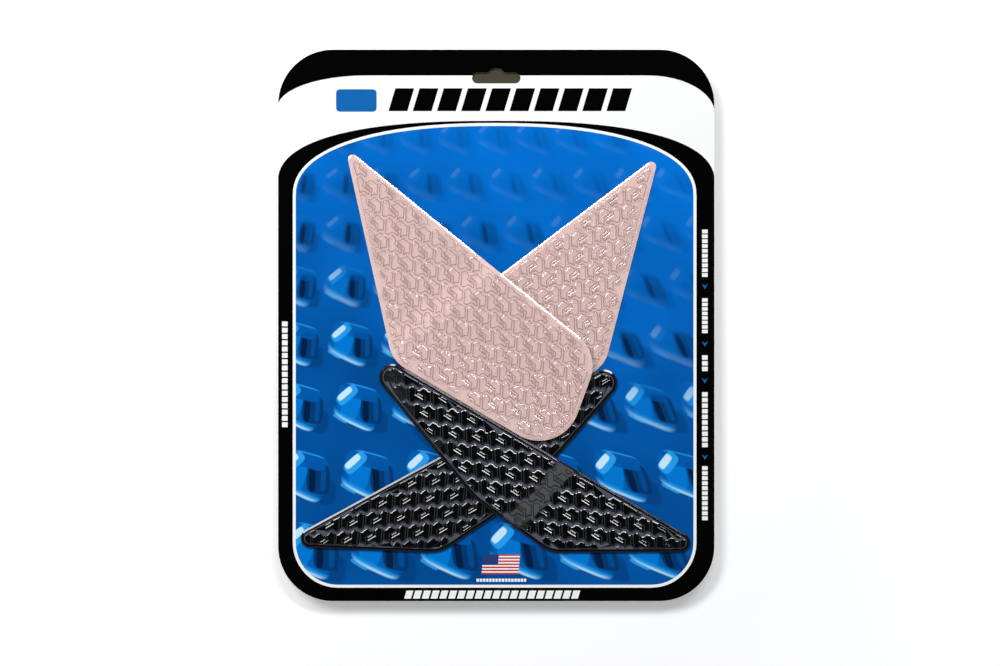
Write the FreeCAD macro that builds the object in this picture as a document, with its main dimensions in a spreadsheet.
"""Carded set of four peel-and-stick stomp pads, lying flat with the printed face up.

+X is to the right across the card, +Y runs up the card to the hang slot and +Z is out of
the printed face. The origin is the middle of the card's back. Lengths are millimetres and
angles are degrees.

The pads come in two pairs. Each pair is a clear pad and a black pad that meet along a
straight seam, so an outline is drawn in the pair's own seam frame: x runs along the seam,
the clear pad lies above it and the black pad below. The right pair is the left pair
mirrored, and it lies under the left pair.
"""
import FreeCAD, Part
import math
import os
import Sketcher

SIZES = {
    # Card
    "card_thick": 0.9,
    "card_corner": 35.0,
    "side_margin": 14.5,
    "head_margin": 67.0,
    "foot_margin": 31.0,
    # Hang slot: a round-ended bar with a half-round bump that centres the hook
    "slot_width": 31.0,
    "slot_height": 6.9,
    "slot_bump": 6.3,
    "slot_drop": 18.2,
    # Layers of one pad, from the card upwards
    "dot_thick": 0.3,
    "dot_size": 12.0,
    "liner_thick": 0.15,
    "glue_thick": 0.2,
    "sheet_thick": 1.0,
    "tread_high": 1.0,
    "stack_gap": 0.1,
    # Where each pair's seam frame lies, and how far it is tilted
    "left_x": 0.0,
    "left_y": -62.1,
    "left_tilt": 30.5,
    "right_x": 1.6,
    "right_y": -63.4,
    "right_tilt": 28.5,
    "seam_gap": 0.6,
    # Clear pad: sharp corners in the seam frame and the radius on each
    "clear_tip_x": -173.0,
    "clear_tip_y": 102.9,
    "clear_tip_round": 3.2,
    "clear_shoulder_x": 34.6,
    "clear_shoulder_y": 71.5,
    "clear_shoulder_round": 24.0,
    "clear_foot_x": 47.4,
    "clear_foot_round": 26.0,
    "clear_heel_x": -77.2,
    "clear_heel_round": 22.0,
    # Black pad: the same
    "black_head_x": -119.5,
    "black_head_round": 8.5,
    "black_hip_x": 12.4,
    "black_hip_y": -48.9,
    "black_hip_round": 40.0,
    "black_base_x": 72.0,
    "black_base_y": -54.5,
    "black_base_round": 22.0,
    "black_tip_x": 162.9,
    "black_tip_round": 6.1,
    # Tread: six-sided blocks in slanting rows, inside a plain rim
    "row_pitch": 15.3,
    "row_spacing": 10.5,
    "row_shift": -4.6,
    "channel_width": 2.2,
    "rim_width": 2.6,
    "least_block": 6.0,
    "clear_row_turn": 16.5,
    "black_row_turn": 22.7,
}

# Corner name, its x and its y in the seam frame; corners run round the pad
OUTLINES = {
    "clear": [
        ("tip", "sizes.clear_tip_x", "sizes.clear_tip_y"),
        ("shoulder", "sizes.clear_shoulder_x", "sizes.clear_shoulder_y"),
        ("foot", "sizes.clear_foot_x", "sizes.seam_gap / 2"),
        ("heel", "sizes.clear_heel_x", "sizes.seam_gap / 2"),
    ],
    "black": [
        ("head", "sizes.black_head_x", "-sizes.seam_gap / 2"),
        ("hip", "sizes.black_hip_x", "sizes.black_hip_y"),
        ("base", "sizes.black_base_x", "sizes.black_base_y"),
        ("tip", "sizes.black_tip_x", "-sizes.seam_gap / 2"),
    ],
}

# Glue dots: how far out each lies, from the middle of the pad's corners to one corner.
# The lower pads lie on all of theirs; an upper pad has them under its free ends only.
DOTS = {
    ("clear", "right"): {"tip": 0.55, "shoulder": 0.5, "foot": 0.5, "heel": 0.5},
    ("black", "right"): {"head": 0.5, "hip": 0.4, "base": 0.5, "tip": 0.6},
    ("clear", "left"): {"tip": 0.6, "heel": 0.55},
    ("black", "left"): {"head": 0.62, "tip": 0.62},
}

MIRROR = {"left": 1, "right": -1}

Y_AXIS = -2  # a sketch's own number for its upright axis

# Heights above the card's back, as sums of the layers below
Z_DOTS = "sizes.card_thick"
Z_LINER = {"right": Z_DOTS + " + sizes.dot_thick"}
LAYERS = " + sizes.liner_thick + sizes.glue_thick + sizes.sheet_thick + sizes.tread_high"
Z_LINER["left"] = Z_LINER["right"] + LAYERS + " + sizes.stack_gap"

doc = FreeCAD.newDocument("stomp_pads")


def make_sheet():
    """Put every driving size in the spreadsheet, under its own name."""
    sheet = doc.addObject("Spreadsheet::Sheet", "sizes")
    for row, (name, size) in enumerate(SIZES.items(), start=1):
        sheet.set("A%d" % row, name)
        sheet.set("B%d" % row, str(size))
        sheet.setAlias("B%d" % row, name)
    doc.recompute()


def new_body(name):
    body = doc.addObject("PartDesign::Body", name)
    body.Label = name
    return body


def new_sketch(body, name):
    """A sketch on the body's own XY plane."""
    sketch = body.newObject("Sketcher::SketchObject", body.Name + "_" + name)
    plane = [item for item in body.Origin.OriginFeatures if item.Role == "XY_Plane"][0]
    sketch.AttachmentSupport = [(plane, "")]
    sketch.MapMode = "FlatFace"
    return sketch


def hold(sketch, formula, start, kind, *where):
    """Hold a distance or a radius at a formula of the sheet's sizes."""
    index = sketch.addConstraint(Sketcher.Constraint(kind, *where, start))
    sketch.setExpression("Constraints[%d]" % index, formula)


def evaluate(formula):
    """The value of a formula of the sheet's sizes."""
    return float(doc.getObject("sizes").evalExpression(formula))


def polygon_sketch(body, name, corners):
    """A closed polygon whose corners are held at formulas of the sheet's sizes."""
    sketch = new_sketch(body, name)
    points = [FreeCAD.Vector(evaluate(x), evaluate(y), 0) for x, y in corners]
    count = len(points)
    for index in range(count):
        edge = Part.LineSegment(points[index], points[(index + 1) % count])
        sketch.addGeometry(edge, False)
    for index in range(count):
        joined = Sketcher.Constraint("Coincident", index, 2, (index + 1) % count, 1)
        sketch.addConstraint(joined)
    for index, (x, y) in enumerate(corners):
        hold(sketch, x, points[index].x, "DistanceX", index, 1)
        hold(sketch, y, points[index].y, "DistanceY", index, 1)
    return sketch


def pad_up(body, sketch, thickness):
    """Raise a sketch by a thickness from the sheet."""
    feature = body.newObject("PartDesign::Pad", body.Name + "_pad")
    feature.Profile = sketch
    feature.setExpression("Length", thickness)
    doc.recompute()
    return feature


def upright_edge(shape, x, y):
    """The name of the upright edge that stands at x, y."""
    for number, edge in enumerate(shape.Edges, start=1):
        ends = [vertex.Point for vertex in edge.Vertexes]
        if all(math.hypot(end.x - x, end.y - y) < 1e-4 for end in ends):
            return "Edge%d" % number
    raise ValueError("no upright edge at %.2f, %.2f" % (x, y))


def round_corner(body, feature, name, x, y, radius):
    """Round one upright corner of a plate by a radius from the sheet."""
    fillet = body.newObject("PartDesign::Fillet", body.Name + "_" + name)
    fillet.Base = (feature, [upright_edge(feature.Shape, evaluate(x), evaluate(y))])
    fillet.setExpression("Radius", radius)
    doc.recompute()
    return fillet


def place(part, side, height):
    """Lay a piece of a pad in its pair's seam frame, at a height above the card's back."""
    turn = {"left": "-sizes.left_tilt", "right": "sizes.right_tilt"}[side]
    part.setExpression("Placement.Base.x", "sizes.%s_x" % side)
    part.setExpression("Placement.Base.y", "sizes.%s_y" % side)
    part.setExpression("Placement.Base.z", height)
    part.setExpression("Placement.Rotation.Angle", turn)


def corners_of(colour, side):
    """The outline's corners, with x mirrored on the right pair."""
    sign = "" if MIRROR[side] == 1 else "-1 * "
    return [(name, sign + x, y) for name, x, y in OUTLINES[colour]]


def make_plate(name, colour, side, thickness):
    """A plate of the pad's outline, with its four corners rounded."""
    body = new_body(name)
    corners = corners_of(colour, side)
    sketch = polygon_sketch(body, "outline", [(x, y) for _, x, y in corners])
    feature = pad_up(body, sketch, thickness)
    for corner, x, y in corners:
        radius = "sizes.%s_%s_round" % (colour, corner)
        feature = round_corner(body, feature, corner, x, y, radius)
    return body


def block_outline(size):
    """One tread block: the cell of the slanting grid, drawn in by half a channel."""
    pitch = size("row_pitch")
    spacing = size("row_spacing")
    shift = size("row_shift")
    near = [(pitch, 0.0), (pitch + shift, spacing), (shift, spacing)]
    neighbours = near + [(-x, -y) for x, y in near]
    sides = []
    for x, y in neighbours:
        far = math.hypot(x, y)
        sides.append((x / far, y / far, (far - size("channel_width")) / 2))
    points = []
    for index, (ax, ay, a) in enumerate(sides):
        bx, by, b = sides[(index + 1) % len(sides)]
        cross = ax * by - ay * bx
        points.append(FreeCAD.Vector((a * by - b * ay) / cross, (ax * b - bx * a) / cross, 0))
    return Part.Face(Part.makePolygon(points + points[:1]))


def grid_of_blocks(size, turn, reach):
    """Blocks on every grid point within reach of the seam frame's origin."""
    block = block_outline(size)
    rows = int(reach / size("row_spacing")) + 1
    blocks = []
    for row in range(-rows, rows + 1):
        start = row * size("row_shift")
        first = math.ceil((-reach - start) / size("row_pitch"))
        last = math.floor((reach - start) / size("row_pitch"))
        for column in range(first, last + 1):
            copy = block.copy()
            along = start + column * size("row_pitch")
            copy.translate(FreeCAD.Vector(along, row * size("row_spacing"), 0))
            blocks.append(copy)
    grid = Part.makeCompound(blocks)
    grid.rotate(FreeCAD.Vector(), FreeCAD.Vector(0, 0, 1), turn)
    return grid


def make_tread(name, body, colour, side):
    """The raised blocks of one pad, cut off where they meet the plain rim."""
    sheet = doc.getObject("sizes")
    plate = body.Shape
    under = min(plate.Faces, key=lambda face: face.CenterOfMass.z)
    field = Part.Face(under.OuterWire).makeOffset2D(-sheet.get("rim_width"))
    box = plate.BoundBox
    reach = max(abs(box.XMin), abs(box.XMax), abs(box.YMin), abs(box.YMax))
    grid = grid_of_blocks(sheet.get, sheet.get(colour + "_row_turn"), reach)
    if MIRROR[side] == -1:
        grid = grid.mirror(FreeCAD.Vector(), FreeCAD.Vector(1, 0, 0))
    tops = [face for face in field.common(grid).Faces if face.Area > sheet.get("least_block")]
    root = sheet.get("sheet_thick") / 2
    rise = FreeCAD.Vector(0, 0, root + sheet.get("tread_high"))
    blocks = Part.makeCompound([face.extrude(rise) for face in tops])
    blocks.translate(FreeCAD.Vector(0, 0, root))
    tread = doc.addObject("Part::Feature", name)
    tread.Label = name
    tread.Shape = blocks
    return tread


def make_grip(colour, side):
    """The moulded grip sheet: a plate and its tread in one piece."""
    name = "grip_%s_%s" % (colour, side)
    plate = make_plate(name + "_plate", colour, side, "sizes.sheet_thick")
    tread = make_tread(name + "_tread", plate, colour, side)
    grip = doc.addObject("Part::MultiFuse", name)
    grip.Label = name
    grip.Shapes = [plate, tread]
    doc.recompute()
    place(grip, side, Z_LINER[side] + " + sizes.liner_thick + sizes.glue_thick")
    return grip


def make_dots(colour, side):
    """The glue dots that hold one pad's liner to the card, as one group."""
    name = "glue_dots_%s_%s" % (colour, side)
    corners = corners_of(colour, side)
    middle = []
    for axis in (1, 2):
        total = " + ".join("(%s)" % corner[axis] for corner in corners)
        middle.append("(%s) / %d" % (total, len(corners)))
    dots = []
    for corner, x, y in corners:
        share = DOTS[colour, side].get(corner)
        if share is None:
            continue
        dot = doc.addObject("Part::Cylinder", "%s_%s" % (name, corner))
        dot.setExpression("Radius", "sizes.dot_size / 2")
        dot.setExpression("Height", "sizes.dot_thick")
        for letter, end, start in (("x", x, middle[0]), ("y", y, middle[1])):
            formula = "(%s) * %g + (%s) * %g" % (start, 1 - share, end, share)
            dot.setExpression("Placement.Base." + letter, formula)
        dots.append(dot)
    group = doc.addObject("Part::Compound", name)
    group.Label = name
    group.Links = dots
    place(group, side, Z_DOTS)
    return group


def slot_sketch(body, top_edge):
    """The hang slot's outline: a round-ended bar with a bump on its upper side."""
    sketch = new_sketch(body, "slot")
    middle = "%s - sizes.slot_drop" % top_edge
    reach = "(sizes.slot_width - sizes.slot_height) / 2"
    end = evaluate("sizes.slot_height / 2")
    bump = evaluate("sizes.slot_bump")
    level = evaluate(middle)
    side = evaluate(reach)
    foot = math.sqrt(bump ** 2 - end ** 2)
    lift = math.atan2(end, foot)
    up = FreeCAD.Vector(0, 0, 1)
    quarter = math.pi / 2

    def arc(x, radius, start, stop):
        circle = Part.Circle(FreeCAD.Vector(x, level, 0), up, radius)
        return Part.ArcOfCircle(circle, start, stop)

    def line(x1, y1, x2, y2):
        first = FreeCAD.Vector(x1, level + y1, 0)
        return Part.LineSegment(first, FreeCAD.Vector(x2, level + y2, 0))

    bottom = sketch.addGeometry(line(-side, -end, side, -end), False)
    right = sketch.addGeometry(arc(side, end, -quarter, quarter), False)
    top_right = sketch.addGeometry(line(side, end, foot, end), False)
    crown = sketch.addGeometry(arc(0, bump, lift, math.pi - lift), False)
    top_left = sketch.addGeometry(line(-foot, end, -side, end), False)
    left = sketch.addGeometry(arc(-side, end, quarter, 3 * quarter), False)
    joins = [
        ("Tangent", bottom, 2, right, 1),
        ("Tangent", right, 2, top_right, 1),
        ("Coincident", top_right, 2, crown, 1),
        ("Coincident", crown, 2, top_left, 1),
        ("Tangent", top_left, 2, left, 1),
        ("Tangent", left, 2, bottom, 1),
        ("Horizontal", bottom),
        ("Horizontal", top_left),
    ]
    for join in joins:
        sketch.addConstraint(Sketcher.Constraint(*join))
    sketch.addConstraint(Sketcher.Constraint("PointOnObject", crown, 3, Y_AXIS))
    hold(sketch, middle, level, "DistanceY", crown, 3)
    hold(sketch, middle, level, "DistanceY", right, 3)
    hold(sketch, reach, side, "DistanceX", right, 3)
    hold(sketch, "-1 * " + reach, -side, "DistanceX", left, 3)
    hold(sketch, "sizes.slot_height / 2", end, "Radius", right)
    hold(sketch, "sizes.slot_bump", bump, "Radius", crown)
    return sketch


def make_card(films):
    """The backing card, sized by what lies on it: the films' spread and the margins."""
    left, right, top, bottom = [], [], [], []
    for film in films:
        box = film.Name + ".Shape.BoundBox."
        left.append("-1 * %sXMin" % box)
        right.append("%sXMax" % box)
        top.append("%sYMax" % box)
        bottom.append("-1 * %sYMin" % box)
    half_width = "(max(%s) + sizes.side_margin)" % "; ".join(left + right)
    above = "max(%s) + sizes.head_margin" % "; ".join(top)
    below = "max(%s) + sizes.foot_margin" % "; ".join(bottom)
    half_height = "max(%s; %s)" % (above, below)
    body = new_body("backing_card")
    corners = []
    for across, up in ((-1, -1), (1, -1), (1, 1), (-1, 1)):
        corners.append(("%d * %s" % (across, half_width), "%d * %s" % (up, half_height)))
    feature = pad_up(body, polygon_sketch(body, "outline", corners), "sizes.card_thick")
    for number, (x, y) in enumerate(corners):
        feature = round_corner(body, feature, "corner%d" % number, x, y, "sizes.card_corner")
    slot = body.newObject("PartDesign::Pocket", "backing_card_slot")
    slot.Profile = slot_sketch(body, half_height)
    slot.Type = "ThroughAll"
    slot.Reversed = True
    before = feature.Shape.Volume
    doc.recompute()
    if before - slot.Shape.Volume < 1:
        raise ValueError("the hang slot cut nothing")
    return body


def make_pads():
    """The layers of all four pads, lower pair first."""
    parts = []
    films = []
    for side in ("right", "left"):
        for colour in ("black", "clear"):
            parts.append(make_dots(colour, side))
            liner = make_plate("liner_%s_%s" % (colour, side), colour, side, "sizes.liner_thick")
            place(liner, side, Z_LINER[side])
            film = make_plate("adhesive_%s_%s" % (colour, side), colour, side, "sizes.glue_thick")
            place(film, side, Z_LINER[side] + " + sizes.liner_thick")
            parts += [liner, film, make_grip(colour, side)]
            films.append(film)
    doc.recompute()
    return parts, films


def check_document():
    for item in doc.Objects:
        if "Invalid" in item.State or "Error" in item.State:
            raise ValueError("%s failed: %s" % (item.Name, item.State))


def write_parts(parts):
    os.makedirs("parts", exist_ok=True)
    for part in parts:
        shape = part.Shape
        if shape.isNull() or not shape.isValid():
            raise ValueError("%s has no valid shape" % part.Label)
        shape.exportStep("parts/%s.step" % part.Label)
        box = shape.BoundBox
        print("%-24s %2d solid(s) %9.1f mm3  z %.2f to %.2f" % (
            part.Label, len(shape.Solids), shape.Volume, box.ZMin, box.ZMax))


make_sheet()
pads, films = make_pads()
card = make_card(films)
doc.recompute()
check_document()
write_parts([card] + pads)
